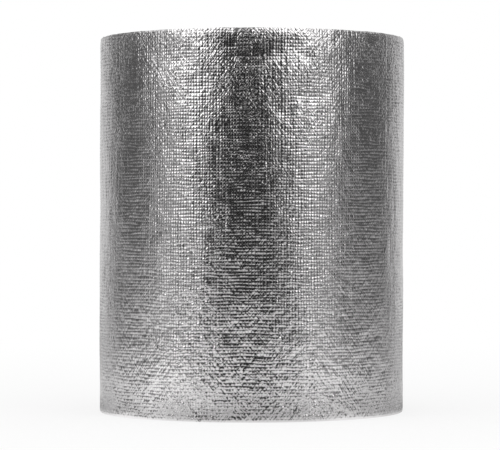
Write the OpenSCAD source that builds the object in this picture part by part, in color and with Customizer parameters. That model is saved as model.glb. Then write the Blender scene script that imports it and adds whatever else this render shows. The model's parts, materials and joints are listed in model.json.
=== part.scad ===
// Roll of foil-faced woven insulation cloth, standing on one end.
// The sheet is wound as a spiral: two half turns, whose centres lie half a sheet
// apart, join smoothly and step out by one sheet in each full turn. The spiral
// seam shows on both ends, and the loose end of the sheet shows as a step down
// the outside. The origin is on the bore's axis, in the plane the roll stands on.

/* [Sheet] */
// Width of the sheet, which is the height of the standing roll
sheet_w = 100; // [40:1:300]
// Thickness of the sheet: foil, woven cloth and backing
sheet_t = 0.8; // [0.5:0.05:3]

/* [Winding] */
// Diameter of the open bore
bore_d = 40; // [20:1:80]
// Number of turns wound round the bore
turns = 26; // [4:1:40]
// Direction of the sheet's loose outer end, counterclockwise from +X
tail_direction = 65; // [0:5:355]

/* [Turn edges] */
// Width of the seam between two turns, at the ends of the roll
seam_w = 0.3; // [0.1:0.05:0.4]
// Depth of that seam
seam_depth = 0.4; // [0.1:0.05:1]

/* [Hidden] */
$fn = 240;

bore_r = bore_d / 2;
// Distance between the centres of the two half turns
centre_shift = sheet_t / 2;
// The halves are turned from this radius, and the bore is then cut through both
turned_from = bore_r - 2 * sheet_t;
// The bore's cutter stands out of both ends by this much
cut_past = 1;
foil_colour = [0.78, 0.79, 0.80];

// Radii of the seams in a half turn, from the inside out
function seam_radii(inner_r, turn_count) =
    [for (turn = [1 : turn_count - 1]) inner_r + turn * sheet_t];

// One V-shaped seam along an end, at height z, cut to height tip_z
function seam_points(r, z, tip_z) =
    [[r - seam_w / 2, z], [r, tip_z], [r + seam_w / 2, z]];

// Section of a half turn, with the seams in its two ends and its outer edges eased
function half_section(inner_r, turn_count) =
    let (
        seams = seam_radii(inner_r, turn_count),
        outer_r = inner_r + turn_count * sheet_t,
        last = len(seams) - 1
    )
    concat(
        [[turned_from, 0]],
        [for (r = seams) each seam_points(r, 0, seam_depth)],
        [
            [outer_r - seam_w / 2, 0],
            [outer_r, seam_depth],
            [outer_r, sheet_w - seam_depth],
            [outer_r - seam_w / 2, sheet_w]
        ],
        [
            for (i = [last : -1 : 0], p = [2 : -1 : 0])
                seam_points(seams[i], sheet_w, sheet_w - seam_depth)[p]
        ],
        [[turned_from, sheet_w]]
    );

// Half of every turn, turned about the Z axis
module half_turns(inner_r, turn_count) {
    rotate_extrude(angle = 180)
        polygon(half_section(inner_r, turn_count));
}

// The wound sheet, before the bore is cut, with its loose end towards -X
module winding() {
    half_turns(bore_r, turns);
    translate([centre_shift, 0, 0])
        rotate([0, 0, 180])
            half_turns(bore_r + centre_shift, turns - 1);
}

module roll() {
    color(foil_colour)
        rotate([0, 0, tail_direction - 180])
            difference() {
                winding();
                translate([0, 0, -cut_past])
                    cylinder(h = sheet_w + 2 * cut_past, r = bore_r);
            }
}

roll();
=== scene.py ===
# Roll of foil-faced woven insulation cloth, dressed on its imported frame. Metres, +Z up
import json
import math

import bpy
import numpy as np
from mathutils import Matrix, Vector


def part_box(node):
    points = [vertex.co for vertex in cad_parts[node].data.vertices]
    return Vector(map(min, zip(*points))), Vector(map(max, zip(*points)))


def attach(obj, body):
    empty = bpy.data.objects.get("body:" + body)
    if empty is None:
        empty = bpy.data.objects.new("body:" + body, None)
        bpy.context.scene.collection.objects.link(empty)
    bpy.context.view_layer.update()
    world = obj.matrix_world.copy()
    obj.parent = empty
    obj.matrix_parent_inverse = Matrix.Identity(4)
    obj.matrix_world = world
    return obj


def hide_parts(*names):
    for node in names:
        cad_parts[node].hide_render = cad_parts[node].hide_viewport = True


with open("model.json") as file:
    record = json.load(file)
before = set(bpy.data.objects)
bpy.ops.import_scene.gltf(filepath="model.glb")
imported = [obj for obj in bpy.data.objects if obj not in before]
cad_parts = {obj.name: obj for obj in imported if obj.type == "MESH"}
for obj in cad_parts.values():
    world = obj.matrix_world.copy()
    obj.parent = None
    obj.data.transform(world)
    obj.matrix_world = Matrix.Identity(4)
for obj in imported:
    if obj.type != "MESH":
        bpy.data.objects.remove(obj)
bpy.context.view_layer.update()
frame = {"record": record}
mm = 0.001
rollLow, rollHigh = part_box("roll")
boreMount = next(mount for mount in frame["record"]["mounts"] if mount["name"] == "bore")
print("frame loaded, roll", [round(side, 4) for side in rollHigh - rollLow])

# How the sheet is wound. The bore and the sheet's width are the frame's own
winding = {
    "sheet": 0.8 * mm,  # foil, cloth and backing
    "turns": 26,
    "looseEnd": 65,  # where the outer end lies, in degrees from +X
    "bore": boreMount["dims"]["r_mm"] * mm,
    "width": rollHigh.z - rollLow.z,
    "slack": 1e-9,  # for rounding, where a half turn starts
}
halfSheet = winding["sheet"] / 2
outerTurn = [(2 * winding["turns"] - 1) * np.pi, (2 * winding["turns"] + 1) * np.pi]
outerRadius = winding["bore"] + winding["turns"] * winding["sheet"]
startAngle = math.radians(winding["looseEnd"] - 180)


# Way out of the roll, after the winding has turned this far
def outward(turned):
    return np.stack([np.cos(turned + startAngle), np.sin(turned + startAngle)], axis=-1)


# Winding line after it has turned this far: half turns about two centres, half a sheet apart
def windingLine(turned, lift=0.0):
    half = np.floor(turned / np.pi + winding["slack"])
    centre = (halfSheet * (half % 2))[..., None] * outward(0)
    radius = winding["bore"] + halfSheet * half
    out = outward(turned)
    return centre + (radius + lift)[..., None] * out, out


# Smooth random fields
noise = {
    "table": 256,
    "start": 64,
    "spread": 0.28,  # of the smoothed values, before it is brought to 1
    "apart": 7,  # cells between one thread or turn and the next, so that they share nothing
}


def splineWeights(part):
    return [
        (1 - part) ** 3 / 6,
        (3 * part**3 - 6 * part**2 + 4) / 6,
        (-3 * part**3 + 3 * part**2 + 3 * part + 1) / 6,
        part**3 / 6,
    ]


# Field of spread 1, with a free value in each cell
def softNoise(across, up, cell, seed):
    size = noise["table"]
    table = np.random.default_rng(seed).uniform(-1, 1, (size, size))
    gridX, gridY = across / cell[0] + noise["start"], up / cell[1] + noise["start"]
    baseX, baseY = np.floor(gridX).astype(int), np.floor(gridY).astype(int)
    total = np.zeros(np.shape(gridX))
    for stepX, weightX in enumerate(splineWeights(gridX - baseX)):
        for stepY, weightY in enumerate(splineWeights(gridY - baseY)):
            total += weightX * weightY * table[(baseX + stepX) % size, (baseY + stepY) % size]
    return total / noise["spread"]


def smoothStep(value, low, high):
    part = np.clip((value - low) / (high - low), 0, 1)
    return part * part * (3 - 2 * part)


# Places along a slanted line and over it, for points and for shader sockets
def slanted(across, up, angle):
    slant = math.radians(angle)
    along = across * math.cos(slant) + up * math.sin(slant)
    return along, up * math.cos(slant) - across * math.sin(slant)


# Corners of each quad in a grid of points
def gridQuads(rows, columns):
    index = np.arange(rows * columns).reshape(rows, columns)
    corners = [index[:-1, :-1], index[:-1, 1:], index[1:, 1:], index[1:, :-1]]
    return np.stack(corners, axis=-1).reshape(-1, 4)


def putInScene(name, data):
    made = bpy.data.objects.new(name, data)
    bpy.context.scene.collection.objects.link(made)
    return made


# Piece from an array of points, rows by columns, with its maps and its own normals
def gridPiece(name, points, maps, finish, normals=None):
    quads = gridQuads(*points.shape[:2])
    mesh = bpy.data.meshes.new(name)
    mesh.vertices.add(points.size // 3)
    mesh.vertices.foreach_set("co", points.astype(np.float32).ravel())
    mesh.loops.add(quads.size)
    mesh.polygons.add(len(quads))
    mesh.polygons.foreach_set("loop_start", np.arange(0, quads.size, 4, dtype=np.int32))
    mesh.polygons.foreach_set("vertices", quads.astype(np.int32).ravel())
    for mapName, flat in maps.items():
        layer = mesh.uv_layers.new(name=mapName)
        layer.data.foreach_set("uv", flat.reshape(-1, 2)[quads.ravel()].astype(np.float32).ravel())
    mesh.update(calc_edges=True)
    mesh.shade_smooth()
    if normals is not None:
        mesh.normals_split_custom_set(normals.reshape(-1, 3).tolist())
    mesh.materials.append(finish)
    piece = putInScene(name, mesh)
    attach(piece, "root")
    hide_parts("roll")
    print("made", name, len(quads) * 2, "triangles")


# Unit square for the bake: columns across, rows up
def bakeMap(rows, columns):
    return np.stack(np.meshgrid(np.linspace(0, 1, columns), np.linspace(0, 1, rows)), axis=-1)


# A shader socket that takes part in plain maths
class Wire:
    def __init__(self, tree, socket=None):
        self.tree = tree
        self.socket = socket

    # Any node: its settings first, then the values or links of its sockets
    def add(self, kind, settings=None, sockets=None, out=0):
        made = self.tree.nodes.new(kind)
        for name, value in (settings or {}).items():
            setattr(made, name, value)
        for name, value in (sockets or {}).items():
            if isinstance(value, Wire):
                self.tree.links.new(value.socket, made.inputs[name])
            else:
                made.inputs[name].default_value = value
        return Wire(self.tree, made.outputs[out] if len(made.outputs) else None)

    def maths(self, operation, first, second):
        return self.add("ShaderNodeMath", {"operation": operation}, {0: first, 1: second})

    def __add__(self, other):
        return self.maths("ADD", self, other)

    def __radd__(self, other):
        return self.maths("ADD", other, self)

    def __sub__(self, other):
        return self.maths("SUBTRACT", self, other)

    def __rsub__(self, other):
        return self.maths("SUBTRACT", other, self)

    def __mul__(self, other):
        return self.maths("MULTIPLY", self, other)

    def __rmul__(self, other):
        return self.maths("MULTIPLY", other, self)

    def __truediv__(self, other):
        return self.maths("DIVIDE", self, other)

    def __rtruediv__(self, other):
        return self.maths("DIVIDE", other, self)

    def __gt__(self, other):
        return self.maths("GREATER_THAN", self, other)


def newFinish(name):
    finish = bpy.data.materials.new(name)
    finish.use_nodes = True
    finish.node_tree.nodes.clear()
    return finish, Wire(finish.node_tree)


def setSurface(wire, sockets):
    shader = wire.add("ShaderNodeBsdfPrincipled", None, sockets)
    wire.add("ShaderNodeOutputMaterial", None, {"Surface": shader})


# Both axes of a piece's map
def mapAxes(wire, mapName):
    place = wire.add("ShaderNodeUVMap", {"uv_map": mapName})
    return [wire.add("ShaderNodeSeparateXYZ", None, {"Vector": place}, out=axis) for axis in ("X", "Y")]


def grain(wire, place, scale, detail):
    sockets = {"Vector": place, "Scale": scale, "Detail": detail}
    return wire.add("ShaderNodeTexNoise", None, sockets)


def wave(wire, place):
    return wire.add("ShaderNodeMath", {"operation": "SINE"}, {0: place})


def fade(wire, value, start, end, low=0, high=1):
    sockets = {"Value": value, "From Min": start, "From Max": end, "To Min": low, "To Max": high}
    return wire.add("ShaderNodeMapRange", {"interpolation_type": "SMOOTHSTEP"}, sockets)


# Mix of two colours, plain ones or sockets
def blendColour(wire, share, low, high):
    first, second = [colour if isinstance(colour, Wire) else (*colour, 1) for colour in (low, high)]
    sockets = {"Factor": share, "A": first, "B": second}
    return wire.add("ShaderNodeMix", {"data_type": "RGBA"}, sockets, out=2)


# Bright foil, pressed over the cloth
foil = {
    "dull": (0.815, 0.80, 0.805),
    "bright": (0.91, 0.895, 0.90),
    "rough": 0.11,
    "roughSpread": 0.04,
    "cloudScale": 260,  # patches, per metre
    "cloudDetail": 4,
    "fibreScale": 2600,  # single fibres under the foil, per metre
    "fibreDetail": 2,
    "fibreDepth": 0.006 * mm,
}
# Fine creases in the foil, too thin for the mesh. Lengths are in threads
strokes = {
    "slants": [(50, 0.95), (-50, 0.95), (90, 0.5)],  # in degrees, with their share of the depth
    "length": 4,
    "width": 0.7,
    "depth": 0.16 * mm,
    "patch": 12,
    "patchFrom": [0.32, 0.55],  # a patch of them starts at the first, and is full at the second
    "upward": [0.8, -1.9, 2.1],  # of the depth: at the foot, by height and by height squared
    "apart": 10,  # between the noise of one slant and the next
}


def strokeHeight(wire):
    across, up = mapAxes(wire, "threads")
    heights = []
    for number, (angle, part) in enumerate(strokes["slants"]):
        layer = strokes["apart"] * number
        along, over = slanted(across, up, angle)
        spot = {"X": along / strokes["length"], "Y": over / strokes["width"], "Z": layer}
        line = grain(wire, wire.add("ShaderNodeCombineXYZ", None, spot), 1, 1)
        layer = layer + strokes["apart"] / 2
        area = {"X": across / strokes["patch"], "Y": up / strokes["patch"], "Z": layer}
        patch = grain(wire, wire.add("ShaderNodeCombineXYZ", None, area), 1, 1)
        heights.append(line * fade(wire, patch, *strokes["patchFrom"]) * part)
    atFoot, change, bend = strokes["upward"]
    height = up / foilFace["threadsUp"]
    share = height * (height * bend + change) + atFoot
    return sum(heights[1:], heights[0]) * share * strokes["depth"]


def foilFinish():
    finish, wire = newFinish("pressed_foil")
    place = wire.add("ShaderNodeTexCoord", out="Object")
    cloud = grain(wire, place, foil["cloudScale"], foil["cloudDetail"])
    fibre = grain(wire, place, foil["fibreScale"], foil["fibreDetail"])
    bump = {"Strength": 1, "Distance": 1, "Height": fibre * foil["fibreDepth"] + strokeHeight(wire)}
    surface = {
        "Base Color": blendColour(wire, cloud, foil["dull"], foil["bright"]),
        "Metallic": 1,
        "Roughness": foil["rough"] + cloud * foil["roughSpread"],
        "Normal": wire.add("ShaderNodeBump", None, bump),
    }
    setSurface(wire, surface)
    return finish


# Outer face of the roll: foil that follows the threads of the cloth
foilFace = {
    "threadsRound": 344,
    "threadsUp": 120,
    "panels": 4,
    "lines": [0, 0.33, 0.67],  # mesh lines in each thread: the groove, and both sides of its top
    "pillow": 0.045 * mm,  # rise of the foil from groove to thread
    "topRise": 0.90,  # share of it at the sides of a thread's top
    "topFrom": 0.5,  # share of it from which a point is on the top
    "rowShare": 0.12,  # of the rise, what belongs to the row alone
    "columnShare": 0.3,
    "rowSpread": 0.8,
    "rowMiddle": 0.3,  # how much more the rows show half way up
    "columnEven": 1.0,
    "columnSpread": 0.6,
    "crossSpread": 0.25,
    "crossSingle": 1.3,  # more of it at the foot, where each crossing is on its own
    "overUnder": 0.12,  # every other crossing stands higher, as in a plain weave
    "topTilt": [0.012, 0.012],  # of single tops, round and up
    "dashTilt": [0.045, 0.025],  # of some tops in line
    "runs": {"row": 1.6, "column": 5, "dash": [3, 2.5], "cross": 2.5},  # threads in line
    "most": {"row": 4, "column": 3, "cross": 2.5},
    "footUneven": 2,  # how much more single tops tilt at the foot
    "footFlat": 0.25,  # how much lower they are there
    "swell": [  # depth, width, and how much deeper it is at the foot
        (0.045 * mm, 7 * mm, 0),
        (0.008 * mm, 2.2 * mm, 0),
        (0.005 * mm, 1.1 * mm, 0.5),
        (0.005 * mm, 0.6 * mm, 1.5),
    ],
    "wander": 0.1 * mm,
    "wanderCells": [(1.5, 8), (4, 1.5)],  # in threads, of the columns and of the rows
    "topRim": {"roll": 2.0 * mm, "inset": 0.2 * mm, "fade": 0.3 * mm},  # rolls in over this height
    "bottomRim": {"roll": 0.9 * mm, "inset": 0.10 * mm, "fade": 0.8 * mm},
    "rimSwell": 0.4,  # share of the swells and creases that is left at the rims
    "rimThreads": 2,  # over which the threads come back to their lines at an edge
    "topDrop": 0.2 * mm,  # of the trimmed outer turn, under the others
    "ragged": 0.03 * mm,
    "raggedCell": (1.5, 1),
    "lean": 0.3 * mm,  # the top stands this much further towards +X
    "seeds": {
        "tops": 12,
        "row": 13,
        "column": 14,
        "dash": [15, 16],
        "cross": [17, 18],
        "swell": 21,
        "wander": [41, 42],
        "trim": 43,
    },
}
# Creases in the foil that its mesh can hold, deeper towards both ends and in patches
crease = {
    "angles": [52, -52, 90],
    "depth": 0.022 * mm,
    "sharp": 0.2,
    "length": 1.7 * mm,
    "spacing": 0.9 * mm,
    "patch": 6 * mm,
    "patchShare": 0.5,
    "less": 0.1,
    "most": 1.5,
    "seed": 31,
    "patchSeed": 36,
}
threadRound = np.pi * (2 * outerRadius - halfSheet) / foilFace["threadsRound"]
threadUp = winding["width"] / foilFace["threadsUp"]


# Places of the mesh lines, in threads
def threadLines(threads):
    lines = np.arange(threads)[:, None] + np.array(foilFace["lines"])[None, :]
    return np.append(lines.ravel(), threads)


# Rise and slope of a pillow from groove to groove, its slope straight between the mesh lines
def pillowShape(place):
    part = place - np.floor(place)
    away = np.minimum(part, 1 - part)
    side, sideRise = foilFace["lines"][1], foilFace["topRise"]
    sideSlope = 2 * (1 - sideRise) / (0.5 - side)
    startSlope = 2 * sideRise / side - sideSlope
    steep = np.interp(away, [0, side, 0.5], [startSlope, sideSlope, 0])
    low = startSlope * away + (sideSlope - startSlope) * away**2 / (2 * side)
    rise = np.where(away < side, low, 1 - sideSlope * (0.5 - away) ** 2 / (2 * (0.5 - side)))
    return rise, np.where(part < 0.5, steep, -steep)


# Strength of the relief at each crossing, of its row, its column and its own pillow, and its top's tilt
def threadRelief():
    runs, most, seeds = foilFace["runs"], foilFace["most"], foilFace["seeds"]
    random = np.random.default_rng(seeds["tops"])
    size = (foilFace["threadsUp"] + 1, foilFace["threadsRound"] + 1)
    rows, columns = np.mgrid[0 : size[0], 0 : size[1]]
    foot = 1 - rows / foilFace["threadsUp"]

    def alongRow(run, seed):
        return softNoise(rows * noise["apart"], columns, (1, run), seed)

    def alongColumn(run, seed):
        return softNoise(columns * noise["apart"], rows, (1, run), seed)

    row = 1 + foilFace["rowSpread"] * alongRow(runs["row"], seeds["row"])
    row = row * (1 + foilFace["rowMiddle"] * (1 - (2 * foot - 1) ** 2))
    column = alongColumn(runs["column"], seeds["column"])
    column = foilFace["columnEven"] + foilFace["columnSpread"] * column
    dashes = [alongColumn(runs["dash"][0], seeds["dash"][0]), alongRow(runs["dash"][1], seeds["dash"][1])]
    inLine = alongColumn(runs["cross"], seeds["cross"][0])
    inLine = inLine + alongRow(runs["cross"], seeds["cross"][1])
    single = random.normal(0, 1, size)
    uneven = inLine * (1 - foot) + foilFace["crossSingle"] * single * foot
    cross = 1 + foilFace["crossSpread"] * uneven
    cross = cross + foilFace["overUnder"] * (1 + foot) * (-1.0) ** (rows + columns)
    cross = cross.clip(0, most["cross"]) * (1 - foilFace["footFlat"] * foot)
    relief = {"row": row.clip(0, most["row"]), "column": column.clip(0, most["column"]), "cross": cross}
    relief["tilt"] = [
        top * (1 + foilFace["footUneven"] * foot) * random.normal(0, 1, size) + along * dash
        for top, along, dash in zip(foilFace["topTilt"], foilFace["dashTilt"], dashes)
    ]
    return relief


# Shares of the rise that a row, a column and a crossing have there
def reliefShares(relief, crossing):
    row = foilFace["rowShare"] * relief["row"][crossing]
    column = foilFace["columnShare"] * relief["column"][crossing]
    cross = (1 - foilFace["rowShare"] - foilFace["columnShare"]) * relief["cross"][crossing]
    return row, column, cross


# Distance to each rim, as a share of the height over which it rolls in or its weave fades
def rimShares(height, change):
    top, bottom = foilFace["topRim"][change], foilFace["bottomRim"][change]
    return np.clip((winding["width"] - height) / top, 0, 1), np.clip(height / bottom, 0, 1)


# Share of the weave that shows: it fades at both rims
def weaveShare(up):
    return np.minimum(*rimShares(up * threadUp, "fade"))


# Height of the foil over the winding line, without its weave
def foilLift(along, height):
    lift = np.zeros(np.shape(along))
    foot = 1 - height / winding["width"]
    firstSwell = foilFace["seeds"]["swell"]
    for seed, (depth, cell, atFoot) in enumerate(foilFace["swell"], start=firstSwell):
        lift = lift + depth * (1 + atFoot * foot) * softNoise(along, height, (cell, cell), seed)
    for number, angle in enumerate(crease["angles"]):
        length, over = slanted(along, height, angle)
        foldCell, patchCell = (crease["length"], crease["spacing"]), (crease["patch"], crease["patch"])
        fold = softNoise(length, over, foldCell, crease["seed"] + number)
        patch = softNoise(along, height, patchCell, crease["patchSeed"] + number)
        strength = (2 * foot - 1) ** 2 + crease["patchShare"] * patch - crease["less"]
        strength = np.clip(strength, 0, crease["most"])
        lift = lift + crease["depth"] * strength * np.exp(-np.abs(fold) / crease["sharp"])
    atRim = foilFace["rimSwell"]
    lift = lift * (atRim + (1 - atRim) * np.minimum(*rimShares(height, "fade")))
    toTop, toBottom = rimShares(height, "roll")
    inset = foilFace["topRim"]["inset"] * (1 - toTop) ** 2
    return lift - inset - foilFace["bottomRim"]["inset"] * (1 - toBottom) ** 2


# Slopes of that height, round the roll and up
def foilSlopes(along, height):
    step = 0.01 * mm
    roundSlope = (foilLift(along + step, height) - foilLift(along - step, height)) / (2 * step)
    upSlope = (foilLift(along, height + step) - foilLift(along, height - step)) / (2 * step)
    return roundSlope, upSlope


def leanLift(turned, height):
    return foilFace["lean"] * np.cos(turned + startAngle) * (height / winding["width"] - 0.5)


# Height of the weave at each point of the mesh
def weaveLift(across, up, relief):
    crossing = (up.astype(int), across.astype(int))
    row, column, cross = reliefShares(relief, crossing)
    riseAcross, riseUp = pillowShape(across)[0], pillowShape(up)[0]
    lift = foilFace["pillow"] * (row * riseUp + column * riseAcross + cross * riseAcross * riseUp)
    onTop = (riseAcross > foilFace["topFrom"]) * (riseUp > foilFace["topFrom"])
    lift += onTop * relief["tilt"][0][crossing] * (across % 1 - 0.5) * threadRound
    lift += onTop * relief["tilt"][1][crossing] * (up % 1 - 0.5) * threadUp
    return weaveShare(up) * lift


# Normals of each quad's corners, so that grooves stay sharp
def cornerNormals(across, up, out, slopes, relief):
    inside = 0.01  # of a thread, from the corner into its quad
    rows, columns = across.shape
    normals = []
    for right, above in ((0, 0), (1, 0), (1, 1), (0, 1)):
        part = (slice(above, above + rows - 1), slice(right, right + columns - 1))
        here = across[part] + inside * (1 - 2 * right)
        high = up[part] + inside * (1 - 2 * above)
        riseAcross, steepAcross = pillowShape(here)
        riseUp, steepUp = pillowShape(high)
        crossing = (high.astype(int), here.astype(int))
        row, column, cross = reliefShares(relief, crossing)
        share = weaveShare(high)
        onTop = share * (riseAcross > foilFace["topFrom"]) * (riseUp > foilFace["topFrom"])
        rise = foilFace["pillow"] * share
        roundTilt = slopes[0][part] + rise / threadRound * steepAcross * (column + cross * riseUp)
        upTilt = slopes[1][part] + rise / threadUp * steepUp * (row + cross * riseAcross)
        roundTilt = roundTilt + onTop * relief["tilt"][0][crossing]
        upTilt = upTilt + onTop * relief["tilt"][1][crossing]
        outX, outY = out[part][..., 0], out[part][..., 1]
        normal = np.stack([outX + roundTilt * outY, outY - roundTilt * outX, -upTilt], axis=-1)
        normals.append(normal / np.linalg.norm(normal, axis=-1, keepdims=True))
    return np.stack(normals, axis=2)


def makeFoilFace(finish):
    threadsRound, threadsUp = foilFace["threadsRound"], foilFace["threadsUp"]
    across, up = np.meshgrid(threadLines(threadsRound), threadLines(threadsUp))
    along, height = across * threadRound, up * threadUp
    lift = foilLift(along, height)
    slopes = foilSlopes(along, height)
    relief = threadRelief()

    # Threads that wander, but not at the edges of the sheet, and a top that is trimmed by hand
    rim, seeds = foilFace["rimThreads"], foilFace["seeds"]
    fromEnds = np.minimum(1, np.minimum(across, threadsRound - across) / rim)
    fromRims = np.minimum(1, np.minimum(up, threadsUp - up) / rim)
    aside, raised = [
        foilFace["wander"] * softNoise(across, up, cell, seed)
        for cell, seed in zip(foilFace["wanderCells"], seeds["wander"])
    ]
    turned = outerTurn[0] + (outerTurn[1] - outerTurn[0]) * across / threadsRound
    turned = turned + aside * fromEnds / outerRadius
    height = height + raised * fromRims
    trim = softNoise(across, up * 0, foilFace["raggedCell"], seeds["trim"])
    trim = foilFace["topDrop"] + foilFace["ragged"] * trim
    height = height - trim * np.clip(up - threadsUp + rim, 0, rim) / rim

    flat, out = windingLine(turned, lift + weaveLift(across, up, relief) + leanLift(turned, height))
    points = np.concatenate([flat, height[..., None]], axis=-1)
    normals = cornerNormals(across, up, out, slopes, relief)
    threads = np.stack([across, up], axis=-1)
    edges = np.linspace(0, across.shape[1] - 1, foilFace["panels"] + 1).astype(int)
    for number, (first, last) in enumerate(zip(edges[:-1], edges[1:]), start=1):
        part = slice(first, last + 1)
        maps = {"threads": threads[:, part], "OFBake": bakeMap(across.shape[0], last + 1 - first)}
        gridPiece(f"foil_face_{number}", points[:, part], maps, finish, normals[:, first:last])


# Cut edge of the sheet: glass cloth with the foil as a thin line on its outer side
cutEdge = {
    "cloth": (0.70, 0.68, 0.63),
    "clothPale": (0.86, 0.85, 0.81),
    "palePart": 0.25,  # and more on each thread's end and with the fuzz
    "paleThread": 0.125,
    "paleFuzz": 0.6,
    "rough": 0.85,
    "foilFrom": 0.86,  # share of the sheet's thickness
    "foilFuzz": 0.06,
    "foilRough": 0.30,
    "threadEnd": 0.74 * mm,
    "threadShare": 0.3,  # of the bump, beside the fuzz
    "fuzzScale": 5200,
    "fuzzDetail": 3,
    "fuzzDepth": 0.05 * mm,
}


def cutEdgeFinish():
    finish, wire = newFinish("cut_cloth_edge")
    through, along = mapAxes(wire, "edge")
    place = wire.add("ShaderNodeTexCoord", out="Object")
    fuzz = grain(wire, place, cutEdge["fuzzScale"], cutEdge["fuzzDetail"])
    thread = wave(wire, along * (2 * np.pi))
    pale = thread * cutEdge["paleThread"] + cutEdge["palePart"] + fuzz * cutEdge["paleFuzz"]
    shine = (through + fuzz * cutEdge["foilFuzz"]) > cutEdge["foilFrom"]
    cloth = blendColour(wire, pale, cutEdge["cloth"], cutEdge["clothPale"])
    height = thread * cutEdge["threadShare"] + fuzz
    bump = {"Strength": 1, "Distance": cutEdge["fuzzDepth"], "Height": height}
    surface = {
        "Base Color": blendColour(wire, shine, cloth, foil["bright"]),
        "Metallic": shine,
        "Roughness": cutEdge["rough"] - shine * (cutEdge["rough"] - cutEdge["foilRough"]),
        "Normal": wire.add("ShaderNodeBump", None, bump),
    }
    setSurface(wire, surface)
    return finish


# Wound ends: one long strip from the bore to the loose end, a ridge for each turn
turnEdges = {
    "stepsPerTurn": 240,
    "acrossSheet": [0, 0.07, 0.2, 0.5, 0.76, 0.87, 0.94, 1],
    "seamDepth": 0.45 * mm,
    "ridgeFlat": 5,
    "uneven": 0.22 * mm,
    "waves": 5,  # in each turn
    "ownShare": 0.8,  # what each turn has of its own, beside the waves
    "ownRun": 0.35,  # turns
    "calmTurns": 1.5,
    "dropTurns": [5, 0.9],  # from the outside, over which the trimmed top falls away outwards
    "insetTurns": [1, 0.98],  # over which the outer turn's rim starts
    "leanPower": 3,  # the roll leans less towards its bore
    "topSeeds": [51, 53],
    "bottomSeeds": [52, 54],
}


# From 0 to 1 between two places, which are counted in turns from the outside
def nearOutside(count, places):
    return smoothStep(count, *[winding["turns"] - place for place in places])


def makeTurnEdges(finish, atTop):
    turns = winding["turns"]
    turned = np.linspace(-np.pi, outerTurn[0], turns * turnEdges["stepsPerTurn"] + 1)
    count = (turned + np.pi) / (2 * np.pi)
    inner, _ = windingLine(np.maximum(turned, 0))
    inner = np.where((turned < 0)[:, None], winding["bore"] * outward(turned), inner)
    inset = foilFace["topRim" if atTop else "bottomRim"]["inset"]
    outer, out = windingLine(turned + 2 * np.pi, -inset * nearOutside(count, turnEdges["insetTurns"]))
    share = np.array(turnEdges["acrossSheet"])
    flat = inner[:, None] + (outer - inner)[:, None] * share[None, :, None]

    # How far each place lies under the end of the roll
    waveSeed, ownSeed = turnEdges["topSeeds" if atTop else "bottomSeeds"]
    rise = softNoise(count * turnEdges["waves"], np.zeros(len(count)), (1, 1), waveSeed)
    own = softNoise(np.floor(count) * noise["apart"], count, (1, turnEdges["ownRun"]), ownSeed)
    rise = rise + turnEdges["ownShare"] * own
    settle = np.clip((turns - count) / turnEdges["calmTurns"], 0, 1) * np.clip(count, 0, 1)
    drop = turnEdges["uneven"] * settle * np.abs(rise)
    if atTop:
        drop = drop + foilFace["topDrop"] * nearOutside(count, turnEdges["dropTurns"])
    dip = turnEdges["seamDepth"] * np.abs(2 * share - 1) ** turnEdges["ridgeFlat"]
    under = drop[:, None] + dip[None, :]
    height = winding["width"] - under if atTop else under

    lean = leanLift(turned, height[:, -1]) * (count / turns) ** turnEdges["leanPower"]
    flat = flat + (lean[:, None] * out)[:, None, :]
    points = np.concatenate([flat, height[..., None]], axis=-1)
    run = np.cumsum(np.r_[0, np.linalg.norm(np.diff(outer, axis=0), axis=-1)])
    threadEnds = run[:, None] / cutEdge["threadEnd"]
    edge = np.stack(np.broadcast_arrays(share[None, :], threadEnds), axis=-1)
    if not atTop:
        points, edge = points[:, ::-1], edge[:, ::-1]
    gridPiece("turn_edges_top" if atTop else "turn_edges_bottom", points, {"edge": edge}, finish)


# Inside of the bore: the cloth side of the first turn
boreLining = {
    "round": 168,
    "up": 60,
    "lip": 0.3 * mm,
    "ripple": 0.05 * mm,
    "rippleCell": (0.25, 12 * mm),  # of the bore's radius, and up
    "seed": 61,
}
# Backing cloth: its raised crossings are painted paler and its hollows darker, as painted light and
# shade, beside a random tone from its fuzz
cloth = {
    # colour of the hollows, which is painted shade, and of the darker fuzz
    "shade": (0.52, 0.51, 0.48),
    "pale": (0.80, 0.79, 0.75),
    # share of painted light on the raised crossings
    "paintedLightOnCrowns": 0.7,
    "paleFuzz": 0.3,
    "rough": 0.8,
    "relief": 0.08 * mm,
    "overUnder": 0.4,  # every other crossing stands higher
    "fuzzShare": 0.3,
    "fuzzScale": 3000,
    "fuzzDetail": 3,
}


def clothFinish():
    finish, wire = newFinish("woven_backing")
    across, up = mapAxes(wire, "threads")
    weave = wave(wire, across * np.pi) * wave(wire, up * np.pi)
    high = wire.add("ShaderNodeMath", {"operation": "ABSOLUTE"}, {0: weave})
    place = wire.add("ShaderNodeTexCoord", out="Object")
    fuzz = grain(wire, place, cloth["fuzzScale"], cloth["fuzzDetail"])
    relief = high + weave * cloth["overUnder"] + fuzz * cloth["fuzzShare"]
    # painted light on the raised crossings and painted shade in the hollows, with the fuzz's random tone
    pale = high * cloth["paintedLightOnCrowns"] + fuzz * cloth["paleFuzz"]
    surface = {
        "Base Color": blendColour(wire, pale, cloth["shade"], cloth["pale"]),
        "Roughness": cloth["rough"],
        "Normal": wire.add("ShaderNodeBump", None, {"Distance": cloth["relief"], "Height": relief}),
    }
    setSurface(wire, surface)
    return finish


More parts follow.
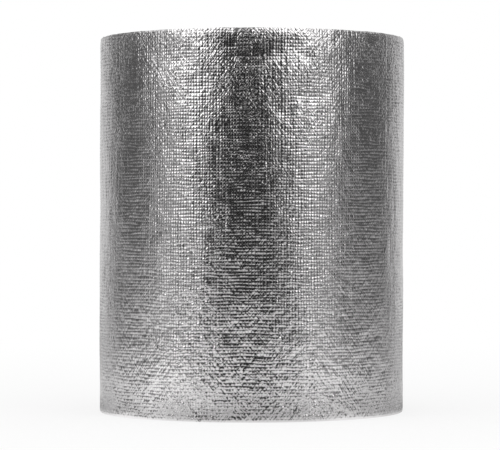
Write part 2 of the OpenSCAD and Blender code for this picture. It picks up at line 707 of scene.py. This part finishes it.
def makeBoreLining(finish):
    angle, height = np.meshgrid(
        np.linspace(0, -2 * np.pi, boreLining["round"] + 1),
        np.linspace(boreLining["lip"], winding["width"] - boreLining["lip"], boreLining["up"] + 1),
    )
    ripple = softNoise(np.cos(angle), height, boreLining["rippleCell"], boreLining["seed"])
    radius = winding["bore"] + boreLining["ripple"] * ripple
    points = np.stack([radius * np.cos(angle), radius * np.sin(angle), height], axis=-1)
    threads = np.stack([-angle * winding["bore"] / threadRound, height / threadUp], axis=-1)
    maps = {"threads": threads, "OFBake": bakeMap(*angle.shape)}
    gridPiece("bore_lining", points, maps, finish)


# Loose end: the cut across the sheet, down the outside
looseEnd = {
    "up": 240,
    "across": 7,
    "rim": 0.2 * mm,
    "before": 1e-6,  # still on the last half turn
}


def makeLooseEnd(finish):
    share, height = np.meshgrid(
        np.linspace(0, 1, looseEnd["across"]),
        np.linspace(looseEnd["rim"], winding["width"] - looseEnd["rim"], looseEnd["up"] + 1),
    )
    foot, _ = windingLine(np.full(share.shape, outerTurn[0]))
    top, _ = windingLine(np.full(share.shape, outerTurn[1] - looseEnd["before"]))
    flat = foot + (top - foot) * share[..., None]
    points = np.concatenate([flat, height[..., None]], axis=-1)
    edge = np.stack([share, height / threadUp], axis=-1)
    gridPiece("loose_end", points[:, ::-1], {"edge": edge[:, ::-1]}, finish)


foilSkin = foilFinish()
edgeSkin = cutEdgeFinish()
makeFoilFace(foilSkin)
makeTurnEdges(edgeSkin, atTop=True)
makeTurnEdges(edgeSkin, atTop=False)
makeBoreLining(clothFinish())
makeLooseEnd(edgeSkin)

# Studio: azimuths run from the camera's side, -Y, towards +X, and rises from the middle of the roll
studio = {
    "floorSize": 400,
    "floorColour": (0.95, 0.95, 0.95, 1),
    "floorDrop": 0.05 * mm,
    "white": (1, 1, 1, 1),
    "whiteShare": 0.7,  # beside the roll
    "whiteReach": [0.06, 0.4],  # all white from the second on
    "worldLevel": 0.95,
}
# Light tent that only the foil's reflections see
tent = {
    "radius": 0.62,
    "offFloor": 0.02 * mm,
    "floorRings": 120,
    "domeRings": 96,
    "domeTop": 89,
    "spokes": 361,
    "angles": [-160, -138, -118, -80, -25, 0, 25, 80, 118, 138, 160],
    "levels": [0.68, 0.6, 0.08, 0.09, 0.03, 0.012, 0.05, 0.07, 0.08, 0.6, 0.68],
    "fadeRises": [10, 30],  # the wall's level fades out upwards
    "floorReach": [0.042, 0.046, 0.09, 0.16, 0.28, 0.5],
    "floorLevels": [0.85, 0.35, 0.85, 0.55, 0.46, 0.04],
    "floorMost": 1.3,
    "floorLeft": 0.1,  # brighter towards -X by this share
    "floorBack": 0.5,  # darker behind the roll
    "backPower": 1.5,
    "floorShare": 0.4,  # of the wall's level
    "sideLow": 0.17,  # more at both sides, on the low wall and the outer floor
    "sidePower": 3,
    "sideRises": [2, -3],
    "sideReach": [0.2, 0.5],
    "roofRises": [11, 55],
    "roofSide": 1,  # it starts this much lower at both sides
    "roofLevel": 1.0,
}
softboxes = {
    "softbox_left": {"azimuth": -50, "share": 1},
    "softbox_right": {"azimuth": 43, "share": 0.9},
}
softbox = {
    "half": 14,
    "soft": 12,
    "lean": 0.6,  # inwards, in degrees for each degree of rise
    "leanFrom": 12,
    "rises": [-30, -12, -6, 4, 14, 30],
    "levels": [0.2, 0.2, 0.1, 0.3, 1.75, 1.4],
    "reach": 0.50,
    "width": 0.18,
    "height": 0.35,
    "offFloor": 0.02,
    "lampLevel": 1.3,
}


def towards(azimuth):
    turn = math.radians(azimuth)
    return np.array([math.sin(turn), -math.cos(turn)])


def backgroundSeen(wire):
    straight, mirrored, through = [
        wire.add("ShaderNodeLightPath", out=ray)
        for ray in ("Is Camera Ray", "Is Glossy Ray", "Is Transmission Ray")
    ]
    return wire.add("ShaderNodeClamp", None, {"Value": straight + mirrored + through})


# Pale floor that keeps the roll's shadow and turns white away from it
def layFloor():
    side = studio["floorSize"] / 2
    corners = [(-side, -side, 0), (side, -side, 0), (side, side, 0), (-side, side, 0)]
    mesh = bpy.data.meshes.new("floor")
    mesh.from_pydata(corners, [], [(0, 1, 2, 3)])
    finish, wire = newFinish("pale_floor")
    matt = wire.add("ShaderNodeBsdfDiffuse", None, {"Color": studio["floorColour"]})
    white = wire.add("ShaderNodeEmission", None, {"Color": studio["white"], "Strength": 1})
    place = wire.add("ShaderNodeTexCoord", out="Object")
    reach = wire.add("ShaderNodeVectorMath", {"operation": "LENGTH"}, {0: place}, out="Value")
    share = backgroundSeen(wire) * fade(wire, reach, *studio["whiteReach"], low=studio["whiteShare"])
    mixed = wire.add("ShaderNodeMixShader", None, {0: share, 1: matt, 2: white})
    wire.add("ShaderNodeOutputMaterial", None, {"Surface": mixed})
    finish.cycles.emission_sampling = "NONE"
    mesh.materials.append(finish)
    floor = putInScene("floor", mesh)
    floor.location.z = -studio["floorDrop"]


# Brightness that the softboxes give a place. On the wall they lean in at the top
def softboxLevel(azimuth, rise, lean):
    total = np.zeros(len(azimuth))
    inner, outer = softbox["half"] - softbox["soft"], softbox["half"] + softbox["soft"]
    for box in softboxes.values():
        inward = math.copysign(lean, box["azimuth"]) * (rise - softbox["leanFrom"])
        away = np.abs(azimuth - box["azimuth"] + inward)
        level = np.interp(rise, softbox["rises"], softbox["levels"])
        total += box["share"] * (1 - smoothStep(away, inner, outer)) * level
    return total


def wallLevel(azimuth):
    return np.interp(azimuth, tent["angles"], tent["levels"])


def sideShare(azimuth):
    return np.sin(np.radians(azimuth)) ** 2


def domeLevel(azimuth, rise):
    side = sideShare(azimuth)
    wall = wallLevel(azimuth) * (1 - smoothStep(rise, *tent["fadeRises"]))
    wall = wall + tent["sideLow"] * side ** tent["sidePower"] * smoothStep(rise, *tent["sideRises"])
    roof = tent["roofLevel"] * smoothStep(rise + tent["roofSide"] * side, *tent["roofRises"])
    return wall + softboxLevel(azimuth, rise, softbox["lean"]) + roof


def floorLevel(azimuth, reach):
    turn = np.radians(azimuth)
    left = 1 - tent["floorLeft"] * np.sin(turn)
    back = 1 - tent["floorBack"] * ((1 - np.cos(turn)) / 2) ** tent["backPower"]
    level = left * back * np.interp(reach, tent["floorReach"], tent["floorLevels"])
    level = level + tent["floorShare"] * wallLevel(azimuth)
    side = sideShare(azimuth) ** tent["sidePower"]
    level = level + tent["sideLow"] * side * smoothStep(reach, *tent["sideReach"])
    rise = math.degrees(math.atan2(-winding["width"] / 2, reach - outerRadius))
    return np.minimum(level + softboxLevel(azimuth, rise, 0), tent["floorMost"])


def pitchTent():
    middle = winding["width"] / 2
    foot = math.asin(middle / tent["radius"])
    azimuth = np.linspace(-180, 180, tent["spokes"])
    aim = np.stack([towards(turn) for turn in azimuth])
    floorEnd = tent["radius"] * math.cos(foot)
    rings = []
    for reach in np.linspace(outerRadius - winding["sheet"], floorEnd, tent["floorRings"]):
        rings.append((reach, 0, floorLevel(azimuth, reach)))
    for rise in np.linspace(-foot, math.radians(tent["domeTop"]), tent["domeRings"]):
        reach, height = tent["radius"] * math.cos(rise), middle + tent["radius"] * math.sin(rise)
        rings.append((reach, height, domeLevel(azimuth, math.degrees(rise))))
    points = np.concatenate([
        np.c_[aim * reach, np.full(len(aim), height + tent["offFloor"])] for reach, height, _ in rings
    ])
    mesh = bpy.data.meshes.new("tent")
    mesh.from_pydata(points.tolist(), [], gridQuads(len(rings), len(azimuth)).tolist())
    grey = mesh.attributes.new("grey", "FLOAT", "POINT")
    grey.data.foreach_set("value", np.concatenate([level for _, _, level in rings]).astype(np.float32))
    finish, wire = newFinish("tent_cloth")
    tone = wire.add("ShaderNodeAttribute", {"attribute_name": "grey"}, out="Fac")
    shader = wire.add("ShaderNodeEmission", None, {"Color": tone, "Strength": 1})
    wire.add("ShaderNodeOutputMaterial", None, {"Surface": shader})
    finish.cycles.emission_sampling = "NONE"
    mesh.materials.append(finish)
    cover = putInScene("tent", mesh)
    cover.visible_camera = False
    cover.visible_diffuse = False
    cover.visible_transmission = False
    cover.visible_shadow = False


# Lamps for what isn't foil
def hangSoftboxes():
    for name, box in softboxes.items():
        lamp = bpy.data.lights.new(name, "AREA")
        lamp.shape = "RECTANGLE"
        lamp.size = softbox["width"]
        lamp.size_y = softbox["height"]
        lamp.energy = math.pi * softbox["width"] * softbox["height"] * softbox["lampLevel"]
        holder = putInScene(name, lamp)
        middle = softbox["height"] / 2 + softbox["offFloor"]
        holder.location = (*towards(box["azimuth"]) * softbox["reach"], middle)
        holder.rotation_euler = (math.pi / 2, 0, math.radians(box["azimuth"]))
        holder.visible_camera = False
        holder.visible_glossy = False


def lightWorld():
    world = bpy.data.worlds.new("studio")
    world.use_nodes = True
    world.node_tree.nodes.clear()
    wire = Wire(world.node_tree)
    plain, white = [
        wire.add("ShaderNodeBackground", None, {"Color": studio["white"], "Strength": level})
        for level in (studio["worldLevel"], 1)
    ]
    mixed = wire.add("ShaderNodeMixShader", None, {0: backgroundSeen(wire), 1: plain, 2: white})
    wire.add("ShaderNodeOutputWorld", None, {"Surface": mixed})
    world.cycles.sampling_method = "NONE"
    bpy.context.scene.world = world


# Camera, level with the middle of the roll
view = {
    "reach": 655 * mm,
    "lens": 175.1,
    "sensor": 36,
    "up": 0.499,  # share of the roll's height
    "aside": -0.46 * mm,
}


def placeCamera():
    camera = putInScene("camera", bpy.data.cameras.new("camera"))
    camera.data.lens = view["lens"]
    camera.data.sensor_width = view["sensor"]
    middle = (rollLow + rollHigh) / 2
    camera.location = (middle.x + view["aside"], -view["reach"], view["up"] * winding["width"])
    camera.rotation_euler = (math.pi / 2, 0, 0)
    bpy.context.scene.camera = camera


layFloor()
pitchTent()
hangSoftboxes()
lightWorld()
placeCamera()
bpy.context.scene.view_settings.view_transform = "Standard"
print("studio ready")
